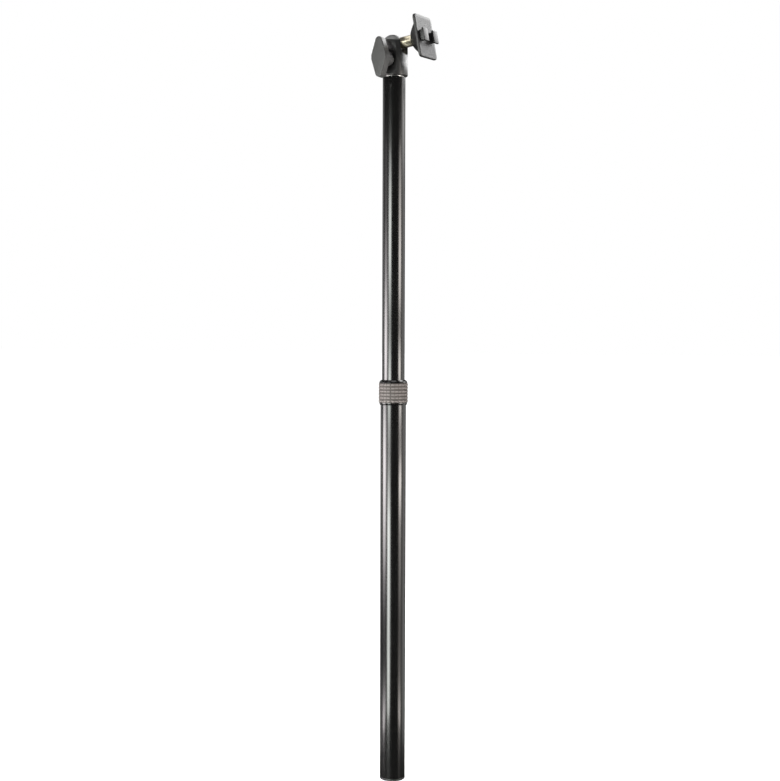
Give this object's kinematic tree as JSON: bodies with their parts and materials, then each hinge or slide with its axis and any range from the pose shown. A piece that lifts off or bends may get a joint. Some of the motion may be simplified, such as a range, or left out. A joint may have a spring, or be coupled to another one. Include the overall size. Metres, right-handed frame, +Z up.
{
  "type": "telescoping stand pole with ball head and device plate",
  "caption": "Two-section black telescoping stand pole with a knurled twist lock, a side-clamped ball head and a ribbed plate with T tabs for a device holder.",
  "frame": {"origin": "centre of the lower pole's end face, where a base would screw on", "axes": "+Z up the pole; the ball head's notch opens towards +X and the clamp knob is on the -Y side"},
  "size_m": [0.0639, 0.0645, 0.8575],
  "materials": {
    "black_enamel": "gloss black enamel on steel",
    "black_plastic": "satin black moulded plastic",
    "grey_plastic": "fine-grained dark grey moulded plastic",
    "knurled_metal": "black-nickel plated, knurled, warm grey",
    "bright_metal": "bright turned",
    "dark_metal": "blackened steel",
    "satin_ball": "satin black ball",
    "brass": "turned, pale",
    "pale_nylon": "natural nylon"
  },
  "bodies": {
    "lower_pole": {"lower_tube": "black_enamel", "end_plug": "black_plastic", "base_insert": "brass", "lock_sleeve": "black_enamel", "clamp_collet": "pale_nylon"},
    "collar_feed": {"slip_ring": "pale_nylon"},
    "collar": {"lock_collar": "knurled_metal", "collar_cap": "black_enamel"},
    "carriage": {"guide_bush": "pale_nylon"},
    "upper_pole": {"upper_tube": "black_enamel", "top_plug": "bright_metal", "top_washer": "bright_metal", "head_stud": "dark_metal", "head_housing": "black_plastic", "seat_wedge": "dark_metal"},
    "knob_feed": {"pressure_pin": "dark_metal"},
    "knob": {"clamp_knob": "grey_plastic", "knob_screw": "bright_metal", "knob_washer": "pale_nylon"},
    "ball_cup": {"ball_seat": "pale_nylon"},
    "ball": {"pivot_ball": "satin_ball"},
    "plate": {"ball_stud": "brass", "plate_insert": "brass", "plate_hub": "black_plastic", "device_plate": "black_plastic"}
  },
  "joints": [
    {"name": "collar_feed", "type": "slide", "parent": "lower_pole", "child": "collar_feed", "axis": [0, 0, 1], "range_m": [0, 0.00076]},
    {"name": "collar_twist", "type": "hinge", "parent": "collar_feed", "child": "collar", "pos_m": [0, 0, 0.438], "axis": [0, 0, 1], "range_deg": [0, 180]},
    {"name": "pole_slide", "type": "slide", "parent": "lower_pole", "child": "carriage", "axis": [0, 0, 1], "range_m": [-0.338, 0.044]},
    {"name": "pole_turn", "type": "hinge", "parent": "carriage", "child": "upper_pole", "pos_m": [0, 0, 0.6], "axis": [0, 0, 1], "continuous": true},
    {"name": "knob_feed", "type": "slide", "parent": "upper_pole", "child": "knob_feed", "axis": [0, -1, 0], "range_m": [0, 0.00076]},
    {"name": "knob_turn", "type": "hinge", "parent": "knob_feed", "child": "knob", "pos_m": [0, -0.02, 0.8083], "axis": [0, -1, 0], "range_deg": [0, 270]},
    {"name": "ball_swing", "type": "hinge", "parent": "upper_pole", "child": "ball_cup", "pos_m": [-0.002, 0, 0.8266], "axis": [0, 0, 1], "range_deg": [-11, 2]},
    {"name": "ball_tilt", "type": "hinge", "parent": "ball_cup", "child": "ball", "pos_m": [-0.002, 0, 0.8266], "axis": [0.0805, -0.9968, 0], "range_deg": [-14, 118]},
    {"name": "plate_spin", "type": "hinge", "parent": "ball", "child": "plate", "pos_m": [-0.002, 0, 0.8266], "axis": [0.9854, 0.0796, 0.1506], "continuous": true}
  ],
  "couplings": [
    {"joint": "collar_feed", "follows": "collar_twist", "m_per_rad": 0.00023873},
    {"joint": "knob_feed", "follows": "knob_turn", "m_per_rad": 0.00015915}
  ]
}
